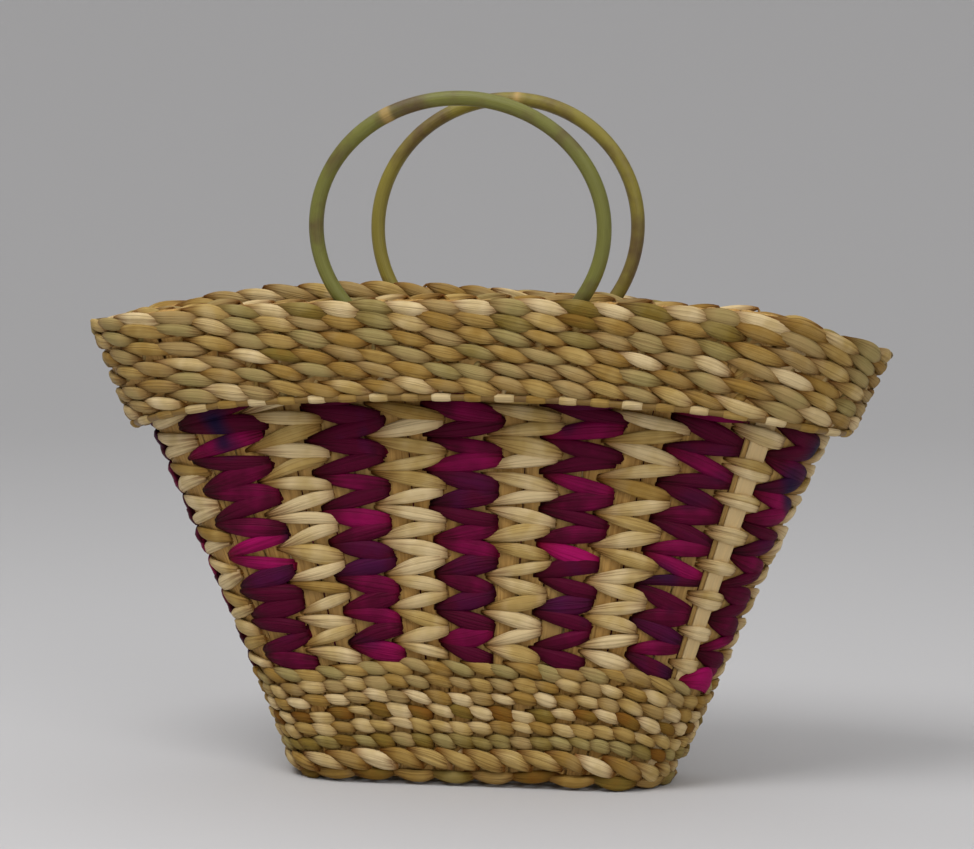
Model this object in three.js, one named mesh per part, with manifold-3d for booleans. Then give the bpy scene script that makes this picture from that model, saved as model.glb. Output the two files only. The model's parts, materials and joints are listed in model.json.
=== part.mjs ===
// A flared oval basket bag: strips twined round upright stakes, with the rim folded outwards into a cuff.
// The pocket behind the cuff holds two cane rings, which rock in it and serve as handles.
// Millimetres, +Z up. The origin is the middle of the base, on the surface that the basket stands on.
// +X runs along the long side and -Y is the front.

import * as THREE from 'three';
import { mergeVertices } from 'three/addons/utils/BufferGeometryUtils.js';
import Module from 'manifold-3d';

const wasm = await Module();
wasm.setup();

// Clearances between pieces that touch, and between the weft and the stakes, which twist towards the rim
const CLEARANCE = 0.3;
const WEFT_CLEARANCE = 0.5;

// Stakes: flat strips that cross under the basket and stand up in its wall
const CROSS_STAKES = 18;
const LONG_STAKES = 6;
const STAKE_WIDTH = 5.8;
const STAKE_RIM_WIDTH = 12;
const STAKE_THICKNESS = 1.6;
const CROSS_GAP = 3.4;
const LONG_GAP = 2.2;
const RIM_GAP = 4.9;
const END_RIM_GAP = 3.4;
const BEND = 5.4;
const MAT_EDGE = 1.7;
const MAT_LIFT = 2.4;
const BASE_CORNER = THREE.MathUtils.degToRad(46);
const RIM_CORNER = THREE.MathUtils.degToRad(24);

// Courses of weft outside the stakes, from the foot upwards
const WEFT_THICKNESS = 3.2;
const COURSE_CHAMFER = 1.2;
const FOOT_HEIGHT = 15.2;
const FOOT_THICKNESS = 6.4;
const FOOT_CHAMFER = 2.6;
const LOWER_COURSES = 6;
const LOWER_ROW = 7.4;
const CHEVRON_COURSES = 15;
const CHEVRON_ROW = 8.65;
const UPPER_WALL = 50;

// Rim: the fold over the stake tops, the cuff that hangs from it and the hoop at the cuff's lower edge
const FOLD_HEIGHT = 6;
const FOLD_LIP = 2.5;
const FOLD_CHAMFER = 2;
const CUFF_COURSES = 5;
const CUFF_ROW = 8;
const CUFF_THICKNESS = 5;
const HOOP_DIAMETER = 4;
const HOOP_SIDES = 6;
const POCKET_END = 2.4;
const POCKET_TAPER = 80;

// Handles: oval cane rings, with their lowest part buried in the pocket behind the cuff
const CANE_DIAMETER = 7.5;
const RING_STEPS = 48;
const CANE_SIDES = 8;
const FRONT_RING = { halfWidth: 71, halfHeight: 62.5, buried: 32.75 };
const BACK_RING = { halfWidth: 69, halfHeight: 66.5, buried: 37.75 };
const SWING = THREE.MathUtils.degToRad(8);
const SWING_CLEARANCE = 0.5;
const SLOT_EASE = 1;
const SEAT_PASSES = 8;

// Facets: stations skipped along the straight sides, and steps of the stakes
const STRAIGHT_SKIP = 3;
const WALL_SPANS = 7;
const BEND_SPANS = 4;

// Finishes
const NATURAL_REED = { color: 0xb3a07c, roughness: 0.75, metalness: 0 };
const PALE_STAKE = { color: 0xb59a86, roughness: 0.75, metalness: 0 };
const DYED_REED = { color: 0x6d1054, roughness: 0.65, metalness: 0 };
const FOOT_REED = { color: 0x9a855f, roughness: 0.75, metalness: 0 };
const HOOP_CANE = { color: 0x7d6a45, roughness: 0.6, metalness: 0 };
const RING_CANE = { color: 0x8a8148, roughness: 0.4, metalness: 0 };

// Whole numbers of stakes and courses
const crossStakes = Math.round(CROSS_STAKES);
const longStakes = Math.round(LONG_STAKES);
const lowerCourses = Math.round(LOWER_COURSES);
const chevronCourses = Math.round(CHEVRON_COURSES);
const cuffCourses = Math.round(CUFF_COURSES);

// Places count stakes round the plan, from 0 in the middle of the front towards the right
const cornerPlace = (crossStakes + 1) / 2;
const endPlaces = (longStakes + 1) / 2;
const quarter = cornerPlace + endPlaces;
const around = 4 * quarter;
const frontPlace = 0;
const backPlace = 2 * quarter;

// Plan at the base and at the rim: straight front and back, and round ends
const longPitch = STAKE_WIDTH + LONG_GAP;
const matHalfDepth = (longStakes - 1) / 2 * longPitch + STAKE_WIDTH / 2;
const rimRadius = (STAKE_RIM_WIDTH + END_RIM_GAP) * endPlaces / (Math.PI / 2 - RIM_CORNER);
const basePlan = planLevel(STAKE_WIDTH + CROSS_GAP, matHalfDepth + MAT_EDGE + BEND, BASE_CORNER);
const rimPlan = planLevel(STAKE_RIM_WIDTH + RIM_GAP, rimRadius, RIM_CORNER);

// Lengths up the wall, and offsets from the middle of the stakes
const lowerStart = FOOT_HEIGHT + CLEARANCE;
const chevronStart = lowerStart + lowerCourses * LOWER_ROW;
const upperStart = chevronStart + chevronCourses * CHEVRON_ROW;
const stakeLength = upperStart + UPPER_WALL;
const stakeTop = stakeLength - STAKE_THICKNESS / 2;
const foldStart = stakeLength + CLEARANCE;
const foldTop = foldStart + FOLD_HEIGHT;
const cuffEnd = stakeLength - cuffCourses * CUFF_ROW;
const wallInner = STAKE_THICKNESS / 2 + WEFT_CLEARANCE;
const wallOuter = wallInner + WEFT_THICKNESS;

// Pocket behind the cuff: wide enough for a cane that rocks about the middle of its buried part
const deepest = Math.max(FRONT_RING.buried, BACK_RING.buried);
const widest = Math.max(FRONT_RING.halfWidth, BACK_RING.halfWidth);
const pocket = CANE_DIAMETER + deepest * Math.sin(SWING) + 2 * SWING_CLEARANCE;
const pocketHalfLength = widest + CANE_DIAMETER / 2;

// Heights of the two layers of the mat, at the middle of the strips
const layer = STAKE_THICKNESS + CLEARANCE;
const crossLayer = MAT_LIFT + STAKE_THICKNESS / 2;
const longLayer = crossLayer + layer;

// Plan at one level: the corner is the angle through which the side has turned at the corner stake
function planLevel(pitch, radius, corner) {
  return { pitch, radius, corner, straight: cornerPlace * pitch - radius * corner };
}

// Places from the nearer middle of the front or back, with the sides of the plan that a place lies on
function foldPlace(place) {
  const turn = THREE.MathUtils.euclideanModulo(place, around);
  const half = turn > around / 2 ? around - turn : turn;
  return {
    count: half > quarter ? 2 * quarter - half : half,
    right: turn > around / 2 ? -1 : 1,
    back: half > quarter ? 1 : -1,
  };
}

// Point and outward normal of a plan at a place
function planPoint({ pitch, radius, corner, straight }, place) {
  const { count, right, back } = foldPlace(place);
  const run = count * pitch;
  const angle = count <= cornerPlace
    ? Math.max(0, (run - straight) / radius)
    : THREE.MathUtils.lerp(corner, Math.PI / 2, (count - cornerPlace) / endPlaces);
  const normal = new THREE.Vector2(right * Math.sin(angle), back * Math.cos(angle));
  const point = new THREE.Vector2(right * Math.min(run, straight), 0).addScaledVector(normal, radius);
  return { point, normal };
}

// Point of the wall at a place, at a length up the stake there and an offset outwards from its middle.
// All the stakes are equally long, so the rim dips at the ends, where they lean furthest.
function wallPoint(place, length, offset = 0) {
  const low = planPoint(basePlan, place);
  const high = planPoint(rimPlan, place);
  const reach = low.point.distanceTo(high.point);
  const height = Math.sqrt(stakeLength ** 2 - reach ** 2);
  const share = length / stakeLength;
  const normal = low.normal.lerp(high.normal, share).normalize();
  const point = low.point.lerp(high.point, share).addScaledVector(normal, offset);
  return new THREE.Vector3(point.x, point.y, share * height);
}

// Width of the pocket at a place: full behind the handles and drawn in towards the ends
function pocketAt(place) {
  const run = foldPlace(place).count * rimPlan.pitch;
  const taper = THREE.MathUtils.smoothstep(run, pocketHalfLength, pocketHalfLength + POCKET_TAPER);
  return THREE.MathUtils.lerp(pocket, POCKET_END, taper);
}

function signedVolume(positions, index) {
  const corner = (i) => new THREE.Vector3().fromArray(positions, 3 * index[i]);
  let volume = 0;
  for (let i = 0; i < index.length; i += 3) {
    volume += corner(i).dot(corner(i + 1).cross(corner(i + 2)));
  }
  return volume / 6;
}

// Solid through equal sections: a closed ring, or a bar with flat ends
function loft(sections, closed) {
  const sides = sections[0].length;
  const positions = sections.flat().flatMap((point) => point.toArray());
  const index = [];
  const spans = closed ? sections.length : sections.length - 1;
  for (let span = 0; span < spans; span += 1) {
    const here = span * sides;
    const next = (span + 1) % sections.length * sides;
    for (let side = 0; side < sides; side += 1) {
      const other = (side + 1) % sides;
      index.push(here + side, here + other, next + other, here + side, next + other, next + side);
    }
  }
  if (!closed) {
    const last = (sections.length - 1) * sides;
    for (let side = 1; side < sides - 1; side += 1) {
      index.push(0, side + 1, side, last, last + side, last + side + 1);
    }
  }
  if (signedVolume(positions, index) < 0) {
    index.reverse();
  }
  const geometry = new THREE.BufferGeometry();
  geometry.setAttribute('position', new THREE.Float32BufferAttribute(positions, 3));
  geometry.setIndex(index);
  return geometry;
}

const basket = new THREE.Group();

function addPiece(parent, name, geometry, finish) {
  geometry.computeVertexNormals();
  const piece = new THREE.Mesh(geometry, new THREE.MeshStandardMaterial(finish));
  piece.name = name;
  parent.add(piece);
}

const numbered = (name, index) => `${name}_${String(index + 1).padStart(2, '0')}`;

// Stations round the plan, halfway between the stakes
const everyStation = Array.from({ length: around }, (_, index) => index - crossStakes / 2);
const straightPlaces = Math.min(basePlan.straight / basePlan.pitch, rimPlan.straight / rimPlan.pitch);
const bendsAt = (place) => foldPlace(place).count >= Math.floor(straightPlaces);
const wallStations = everyStation.filter((place, index) => bendsAt(place) || index % STRAIGHT_SKIP === 0);

// Ring round the basket whose section is a list of [offset, length] at each place
function ring(stations, section) {
  const corners = (place) => section(place).map(([offset, length]) => wallPoint(place, length, offset));
  return loft(stations.map(corners), true);
}

// Section of a course of weft: flat against its stakes, with its outer corners taken off
function courseSection(inner, outer, low, high) {
  return [
    [inner, low],
    [outer, low + COURSE_CHAMFER],
    [outer, high - COURSE_CHAMFER],
    [inner, high],
  ];
}

function wallCourse(name, start, row, finish) {
  const section = courseSection(wallInner, wallOuter, start, start + row - CLEARANCE);
  addPiece(basket, name, ring(wallStations, () => section), finish);
}

// Upright part of a stake at a place, from its top down to its foot, as points with their across direction.
// The top is square to a leaning stake, so it keeps half a thickness below the fold.
function uprightPath(place, across, foot) {
  const path = [];
  for (let span = 0; span <= WALL_SPANS; span += 1) {
    const length = THREE.MathUtils.lerp(stakeTop, foot, span / WALL_SPANS);
    const before = wallPoint(place - 0.5, length);
    const after = wallPoint(place + 0.5, length);
    path.push({
      point: before.clone().lerp(after, 0.5),
      across: after.sub(before).normalize().multiplyScalar(across),
      width: THREE.MathUtils.lerp(STAKE_WIDTH, STAKE_RIM_WIDTH, length / stakeLength),
    });
  }
  return path;
}

// One side of a stake that bends under the basket: its upright, and a curve into the mat towards a point
function sidePath(place, across, height, matAcross, towards) {
  const path = uprightPath(place, across, height + BEND);
  const top = path[path.length - 1];
  const knuckle = uprightPath(place, across, height)[WALL_SPANS].point.setZ(height);
  const inward = towards(knuckle).sub(knuckle).normalize();
  const mat = knuckle.clone().addScaledVector(inward, BEND);
  const curve = new THREE.QuadraticBezierCurve3(top.point, knuckle, mat);
  for (let span = 1; span <= BEND_SPANS; span += 1) {
    const share = span / BEND_SPANS;
    path.push({
      point: curve.getPoint(share),
      across: top.across.clone().lerp(matAcross, share).normalize(),
      width: THREE.MathUtils.lerp(top.width, STAKE_WIDTH, share),
    });
  }
  return path;
}

// Flat strip along a path, with its thickness square to the path and to its across direction
function strip(path) {
  const sections = path.map(({ point, across, width }, index) => {
    const before = path[Math.max(index - 1, 0)].point;
    const after = path[Math.min(index + 1, path.length - 1)].point;
    const out = after.clone().sub(before).cross(across).setLength(STAKE_THICKNESS / 2);
    const side = across.clone().multiplyScalar(width / 2);
    return [
      point.clone().sub(side).sub(out),
      point.clone().add(side).sub(out),
      point.clone().add(side).add(out),
      point.clone().sub(side).add(out),
    ];
  });
  return loft(sections, false);
}

// Cross stakes: up the front, under the mat and up the back
const alongX = new THREE.Vector3(1, 0, 0);
for (let index = 0; index < crossStakes; index += 1) {
  const place = index - (crossStakes - 1) / 2;
  const middle = (knuckle) => new THREE.Vector3(knuckle.x, 0, crossLayer);
  const front = sidePath(place, 1, crossLayer, alongX, middle);
  const back = sidePath(backPlace - place, -1, crossLayer, alongX, middle);
  addPiece(basket, numbered('cross_stake', index), strip([...front, ...back.reverse()]), PALE_STAKE);
}

// Long stakes: up one end, over the cross stakes of the mat, fanning out at its ends, and up the other end
const alongY = new THREE.Vector3(0, 1, 0);
for (let index = 0; index < longStakes; index += 1) {
  const place = quarter + index - (longStakes - 1) / 2;
  const row = (index - (longStakes - 1) / 2) * longPitch;
  const fan = (side) => new THREE.Vector3(side * basePlan.straight, row, longLayer);
  const turn = (side) => ({ point: fan(side), across: alongY, width: STAKE_WIDTH });
  const right = sidePath(place, 1, longLayer, alongY, () => fan(1));
  const left = sidePath(around - place, -1, longLayer, alongY, () => fan(-1));
  const path = [...right, turn(1), turn(-1), ...left.reverse()];
  addPiece(basket, numbered('long_stake', index), strip(path), PALE_STAKE);
}

// Corner stakes: one more upright in each corner, which starts on the mat
const cornerFoot = longLayer + STAKE_THICKNESS / 2 + CLEARANCE;
const corners = {
  corner_stake_front_right: cornerPlace,
  corner_stake_back_right: backPlace - cornerPlace,
  corner_stake_back_left: backPlace + cornerPlace,
  corner_stake_front_left: around - cornerPlace,
};
for (const [name, place] of Object.entries(corners)) {
  addPiece(basket, name, strip(uprightPath(place, 1, cornerFoot)), PALE_STAKE);
}

// Foot braid, which the basket stands on
const footOuter = wallInner + FOOT_THICKNESS;
const footSection = [
  [wallInner, 0],
  [footOuter - FOOT_CHAMFER, 0],
  [footOuter, FOOT_CHAMFER],
  [footOuter, FOOT_HEIGHT - FOOT_CHAMFER],
  [footOuter - FOOT_CHAMFER, FOOT_HEIGHT],
  [wallInner, FOOT_HEIGHT],
];
addPiece(basket, 'foot_braid', ring(wallStations, () => footSection), FOOT_REED);

// Plain courses above the foot, chevron courses above those, and the plain wall behind the cuff
for (let index = 0; index < lowerCourses; index += 1) {
  wallCourse(numbered('lower_course', index), lowerStart + index * LOWER_ROW, LOWER_ROW, NATURAL_REED);
}
for (let index = 0; index < chevronCourses; index += 1) {
  wallCourse(numbered('chevron_course', index), chevronStart + index * CHEVRON_ROW, CHEVRON_ROW, DYED_REED);
}
wallCourse('upper_wall', upperStart, UPPER_WALL, NATURAL_REED);

// Cuff courses, counted down from the fold
const cuffInner = (place) => wallOuter + pocketAt(place);
const cuffOuter = (place) => cuffInner(place) + CUFF_THICKNESS;
for (let index = 0; index < cuffCourses; index += 1) {
  const high = stakeLength - index * CUFF_ROW;
  const low = high - CUFF_ROW + CLEARANCE;
  const section = (place) => courseSection(cuffInner(place), cuffOuter(place), low, high);
  addPiece(basket, numbered('cuff_course', index), ring(everyStation, section), NATURAL_REED);
}

// Hoop that stiffens the cuff's lower edge
const hoopRadius = HOOP_DIAMETER / 2;
function hoopSection(place) {
  return Array.from({ length: HOOP_SIDES }, (_, side) => {
    const angle = side / HOOP_SIDES * 2 * Math.PI;
    return [
      cuffOuter(place) - hoopRadius + hoopRadius * Math.cos(angle),
      cuffEnd - hoopRadius + hoopRadius * Math.sin(angle),
    ];
  });
}
addPiece(basket, 'cuff_hoop', ring(everyStation, hoopSection), HOOP_CANE);

// Handles: each group stands at the middle of the ring's buried part, on the axis that the ring rocks about
const wallLean = Math.asin((rimPlan.radius - basePlan.radius) / stakeLength);
const caneRadius = CANE_DIAMETER / 2;

// Point of a ring's middle line moved square to it by an offset, at an angle round the ring
function ringPoint({ halfWidth, halfHeight, buried }, angle, offset) {
  const centre = caneRadius + halfHeight - buried / 2;
  const normal = new THREE.Vector2(Math.cos(angle) / halfWidth, Math.sin(angle) / halfHeight).normalize();
  return new THREE.Vector3(
    halfWidth * Math.cos(angle) + offset * normal.x,
    0,
    centre + halfHeight * Math.sin(angle) + offset * normal.y,
  );
}

// Distance of a leg's edge from the middle of its ring at a height, found by halving the lower quarter turn
function legEdge(size, height, offset) {
  let low = -Math.PI / 2;
  let high = 0;
  while (high - low > 1e-6) {
    const middle = (low + high) / 2;
    if (ringPoint(size, middle, offset).z < height) {
      low = middle;
    } else {
      high = middle;
    }
  }
  return ringPoint(size, low, offset).x;
}

function ringGeometry(size) {
  const sections = Array.from({ length: RING_STEPS }, (_, step) => {
    const angle = step / RING_STEPS * 2 * Math.PI;
    return Array.from({ length: CANE_SIDES }, (__, side) => {
      const roll = side / CANE_SIDES * 2 * Math.PI;
      const point = ringPoint(size, angle, caneRadius * Math.cos(roll));
      return point.setY(caneRadius * Math.sin(roll));
    });
  });
  return loft(sections, true);
}

function addHandle(name, size, place, lean) {
  const group = new THREE.Group();
  group.position.copy(wallPoint(place, foldTop - size.buried / 2, wallOuter + pocket / 2));
  group.rotation.x = lean;
  addPiece(group, name, ringGeometry(size), RING_CANE);
  basket.add(group);
  group.updateMatrixWorld();
  return { size, place, matrix: group.matrixWorld };
}
const handles = [
  addHandle('front_handle', FRONT_RING, frontPlace, wallLean),
  addHandle('back_handle', BACK_RING, backPlace, -wallLean),
];

// Inner edge of a ring's leg where it passes the underside of the fold, which dips away from the middle
function seatEdge({ size, place, matrix }) {
  const toHandle = matrix.clone().invert();
  let edge = size.halfWidth;
  for (let pass = 0; pass < SEAT_PASSES; pass += 1) {
    const underside = wallPoint(place + edge / rimPlan.pitch, foldStart, wallOuter + pocket / 2);
    edge = legEdge(size, underside.applyMatrix4(toHandle).z, -caneRadius);
  }
  return edge;
}

// Slots through the fold for a ring's two legs: they seat on the inner edges, and the pocket's width is open
function legSlots(handle) {
  const { size, matrix } = handle;
  const inner = seatEdge(handle) - CLEARANCE;
  const outer = legEdge(size, size.buried / 2, caneRadius) + SLOT_EASE;
  return [-1, 1].map((side) => {
    const box = new THREE.BoxGeometry(outer - inner, pocket, 3 * FOLD_HEIGHT);
    box.translate(side * (inner + outer) / 2, 0, size.buried / 2 - FOLD_HEIGHT);
    return box.applyMatrix4(matrix);
  });
}

function toSolid(geometry) {
  const bare = geometry.clone();
  bare.deleteAttribute('normal');
  bare.deleteAttribute('uv');
  const merged = mergeVertices(bare);
  return new wasm.Manifold(new wasm.Mesh({
    numProp: 3,
    vertProperties: new Float32Array(merged.attributes.position.array),
    triVerts: new Uint32Array(merged.index.array),
  }));
}

function toGeometry(solid) {
  const { vertProperties, triVerts } = solid.getMesh();
  const geometry = new THREE.BufferGeometry();
  geometry.setAttribute('position', new THREE.BufferAttribute(vertProperties, 3));
  geometry.setIndex(new THREE.BufferAttribute(triVerts, 1));
  return geometry;
}

// Fold over the stake tops, from a lip inside the basket to the cuff's outer face
const lip = -(STAKE_THICKNESS / 2 + FOLD_LIP);
function foldSection(place) {
  const outer = cuffOuter(place);
  return [
    [lip, foldStart],
    [outer, foldStart],
    [outer, foldTop - FOLD_CHAMFER],
    [outer - FOLD_CHAMFER, foldTop],
    [lip + FOLD_CHAMFER, foldTop],
    [lip, foldTop - FOLD_CHAMFER],
  ];
}
const slots = handles.flatMap(legSlots).map(toSolid);
const wholeFold = toSolid(ring(everyStation, foldSection));
const slottedFold = slots.reduce((fold, slot) => fold.subtract(slot), wholeFold);
addPiece(basket, 'rim_fold', toGeometry(slottedFold), NATURAL_REED);

export default basket;
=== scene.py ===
"""A twined basket bag with two cane rings as handles, dressed over its CAD frame.

Metres, with +Z up and the front at -Y.
"""

import json
import math
from dataclasses import dataclass

import bpy
import numpy as np
from bpy.props import FloatProperty, FloatVectorProperty, PointerProperty
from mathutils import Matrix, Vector


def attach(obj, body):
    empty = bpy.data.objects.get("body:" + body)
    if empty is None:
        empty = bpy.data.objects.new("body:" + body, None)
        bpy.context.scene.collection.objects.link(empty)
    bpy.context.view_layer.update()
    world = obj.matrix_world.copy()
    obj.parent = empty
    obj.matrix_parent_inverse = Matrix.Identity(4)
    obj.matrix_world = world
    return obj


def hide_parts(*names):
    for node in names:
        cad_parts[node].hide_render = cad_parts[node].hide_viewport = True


bl_info = {
    "name": "Twined basket bag",
    "version": (1, 0, 0),
    "blender": (4, 5, 0),
    "location": "View3D > Sidebar > Basket",
    "description": "Weaves a basket bag strand by strand and bends its cane handles",
    "category": "Object",
}

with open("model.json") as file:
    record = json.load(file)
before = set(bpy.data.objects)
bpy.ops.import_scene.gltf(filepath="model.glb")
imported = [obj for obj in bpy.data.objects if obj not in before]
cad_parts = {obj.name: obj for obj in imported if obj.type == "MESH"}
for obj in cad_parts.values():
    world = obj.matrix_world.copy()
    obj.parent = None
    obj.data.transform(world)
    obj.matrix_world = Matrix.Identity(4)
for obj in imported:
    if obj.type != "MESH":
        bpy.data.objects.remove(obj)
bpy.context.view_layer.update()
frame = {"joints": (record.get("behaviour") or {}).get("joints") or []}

# Stakes and plan, as in the CAD frame: places count stakes from the middle of the front towards the right
CROSS_STAKES = 18
LONG_STAKES = 6
STAKE_WIDTH = 0.0058
STAKE_RIM_WIDTH = 0.012
STAKE_THICKNESS = 0.0016
BASE_PITCH = 0.0092
BASE_RADIUS = 0.03
RIM_PITCH = 0.0169
END_RIM_PITCH = 0.0154
LONG_PITCH = 0.008
BEND = 0.0054
BASE_CORNER = math.radians(46)
RIM_CORNER = math.radians(24)
CORNER_PLACE = (CROSS_STAKES + 1) / 2
END_PLACES = (LONG_STAKES + 1) / 2
QUARTER = CORNER_PLACE + END_PLACES
AROUND = 4 * QUARTER
BACK_PLACE = 2 * QUARTER
RIM_RADIUS = END_RIM_PITCH * END_PLACES / (math.pi / 2 - RIM_CORNER)
BASE_STRAIGHT = CORNER_PLACE * BASE_PITCH - BASE_RADIUS * BASE_CORNER

# Lengths up the stakes, offsets outwards from their middle, and heights of the mat
LOWER_START = 0.0155
LOWER_ROW = 0.0074
LOWER_COURSES = 6
CHEVRON_START = LOWER_START + LOWER_COURSES * LOWER_ROW
CHEVRON_ROW = 0.00865
CHEVRON_COURSES = 15
UPPER_START = CHEVRON_START + CHEVRON_COURSES * CHEVRON_ROW
UPPER_WALL = 0.05
UPPER_COURSES = 5
STAKE_LENGTH = UPPER_START + UPPER_WALL
FOLD_RISE = 0.0045
TOP_RISE = 0.002
LIP_RISE = 0.0026
LIP_OFFSET = -0.0006
CUFF_ROW = 0.008
CUFF_COURSES = 5
CUFF_END = STAKE_LENGTH - CUFF_COURSES * CUFF_ROW
WALL_OUTER = 0.0045
POCKET = 0.01375
POCKET_END = 0.005
POCKET_HALF_LENGTH = 0.07475
POCKET_TAPER = 0.08
CUFF_STAKE = 0.0017
MAT_LOW = 0.0032
MAT_HIGH = 0.0051

# Soft shape: the rim sags and the foot is drawn in at the right end, and the cuff hangs lower at the left
RIM_SAG = 0.007
CUFF_FALL = 0.006
SOFT_START = 7.0
FOOT_OFFSET = 0.002
FOOT_DRAW = 0.0045

# Heights that the uneven rim gains, by place
RIM_LIFT = (
    (0, 0.0), (3, 0.0012), (6.5, 0.0022), (8.5, 0.005), (9.5, 0.005), (11, 0.0028), (13, -0.0005),
    (16, -0.003), (20, -0.0042), (23, -0.001), (25, 0.0), (28, 0.0018), (30, 0.0045), (32.5, 0.006),
    (35, 0.0065), (37.5, 0.0065), (39, 0.005), (40, 0.004), (43.5, 0.0036), (46, 0.0014), (48.5, 0.0005),
)
RIM_STIFFNESS = 8

# Rows that arch up in the middle of the front and back, further to the right, and dip at the corners
ROW_ARCH = 0.0045
ROW_DIP = 0.0012
ARCH_START = 5.0
ARCH_LEAN = 1.7
ARCH_END = 10.5

# Strips on the stakes: share of the stakes' width, section, steps along each part, and ease into the mat
STRIP_SPREAD = 1.4
STRIP_SIDES = 16
STRIP_POWERS = (0.6, 0.5)
STRIP_RIDGES = 3
STRIP_RIDGE = 0.22
HANG_STEPS = 12
FOLD_STEPS = 11
CLIMB_STEPS = 40
BEND_STEPS = 7
CROSS_STEPS = 44
LONG_STEPS = 100
MAT_EASE = 0.08

# Room for the rings' legs on the fold: where and how far strips step aside, and how much slimmer they are
LEG_PLACE = 3.5
LEG_ROOM = 0.75
LEG_STEP = 0.62
LEG_SLIM = 0.5
FOLD_SLIM = 0.05
FOLD_NEAR = 0.02

# Places where the strands of the chevron band cross. Its single columns carry the ladder lines.
CHEVRON_EDGES = np.array(
    [*range(-1, 10, 2), *range(10, 35, 2), 35, 36, 37, 38.3, 40.2, 42.6, *range(45, 52, 2)], float
)
CHEVRON_REACH = (0.33, 0.5)
RIGHT_LADDER = (9, 10)
LEFT_LADDER = (35, 36)
LADDER_REACH = 0.4
LADDER_WIDTH = 0.72
LADDER_BOW = 0.15
LADDER_SPREAD = 0.95
LADDER_OUT = 0.0012
LADDER_SKIN = 0.0003
LADDER_PALE = 0.6

# Shares and lengths that set apart the dyed float below the ladder line
ACCENT_WIDTH = 1.7
ACCENT_REACH = 0.4
ACCENT_LIFT = 0.006
ACCENT_TONE = 0.75
ACCENT_OUT = 0.0012

# Foot: columns all round of its rope and of the edge below it
ROPE_COLUMNS = 36
EDGE_COLUMNS = 24

# Shape of a float: shares of its thickness at the tips and added in the middle, plateau, roundness and ridges
TIP_THICKNESS = 0.55
BELLY_THICKNESS = 0.45
FLOAT_PLATEAU = 4
FLOAT_ROUND = 0.8
FLOAT_RIDGES = (3, 6)
FLOAT_RIDGE = 0.13

# Chance in the weave: spreads of reach, tips, lift and swelling, and the waves in which a row drifts
REACH_SPREAD = 0.05
TIP_SPREAD = 0.0003
LIFT_SPREAD = 0.0005
SWELL_SPREAD = 0.1
DRIFT = 0.0004
DRIFT_WAVES = (5, 9)
PHASES = 6.28
SEEDS = {
    "lower": 100, "chevron": 200, "upper": 300, "cuff": 400, "top": 450, "lip": 451,
    "rope": 500, "edge": 501, "stakes": 600, "wraps": 700, "rings": 800,
}

# Tones of a course's two strands: reed goes from pale at 0 to brown at 1, and dye from violet to magenta
LOWER_TONES = ((0.66, 0.8), (0.1, 0.26), (0.08, 0.96), (0.4, 0.06), (0.18, 0.46), (0.28, 0.6))
CUFF_TONES = ((0.22, 0.62), (0.3, 0.6), (0.55, 0.16), (0.4, 0.7), (0.12, 0.42))
UPPER_TONES = (0.2, 0.6)
TOP_TONES = (0.08, 0.6)
LIP_TONES = (0.16, 0.45)
ROPE_TONES = (0.1, 0.3)
EDGE_TONES = (0.4, 0.85)
CHEVRON_TONE = 0.07
DYE_TONE = 0.4
ROW_DYE_TONES = {5: 0.26, 6: 0.58, 7: 0.56}
EVEN_TONE = 0.5

# Hoop below the cuff, and the stake ends that wrap it, with half lengths in places
HOOP_DROP = 0.002
HOOP_OUT = 0.0013
HOOP_SIDES = 10
HOOP_STEPS = 260
WRAP_STEPS = 7
WRAP_RADIUS = 0.62
WRAP_HALF = (0.26, 0.31)
WRAP_TAPER = 0.14
WRAP_POWER = 0.3
WRAP_TONES = (0.34, 0.04)
WRAP_SHADES = 0.04

# Handles: half widths and heights of the canes' middle lines, and how much of each ring is in the pocket
FRONT_RING = (0.071, 0.0625, 0.03275)
BACK_RING = (0.069, 0.0665, 0.03775)
RIM_LEAN = math.asin((RIM_RADIUS - BASE_RADIUS) / STAKE_LENGTH)
RING_STEPS = 180
RING_SIDES = 16
RING_UNEVEN = 0.015
RING_WAVES = (3, 7)

# Angles on the rings of the pale joint and of the brown stretch beside it, and how far both spread
FRONT_JOINT = (math.radians(119), math.radians(107))
BACK_JOINT = (math.radians(86), math.radians(98))
JOINT_SPREAD = 0.03
JOINT_SWELL = 0.05
BROWN_SPREAD = 0.12

# Materials: noise along and round the fibres, and noise of blotches, spots and patches
REED_FIBRES = (22.0, 22.0)
STRIP_FIBRES = (40.0, 30.0)
CANE_FIBRES = (30.0, 60.0)
FIBRE_SEEDS = 90.0
BLOTCH_SCALE = 70.0
BLOTCH_SHIFT = 0.08
BLUE_SCALE = 34.0
PATCH_SCALE = 26.0

# Materials: tones where the dye turns purple and magenta, dark shades of the streaks, painted shade in the
# creases and at the tips, and strength of the mottling
PURPLE_TONES = (0.12, 0.3)
MAGENTA_TONES = (0.42, 0.78)
STREAK_SHADE = (0.28, 0.16, 0.03)
# Painted shade in the fibre creases, stronger towards the tips
CREASE_PAINTED_SHADE = (0.2, 0.085, 0.012)
# Painted shade at the tips of the floats, where they tuck under their neighbours
TIP_PAINTED_SHADE = (0.35, 0.16, 0.015)
CANE_SHADE = (0.25, 0.2, 0.12)
HOOP_MOTTLE = 0.5
RING_MOTTLE = 0.75

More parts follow.
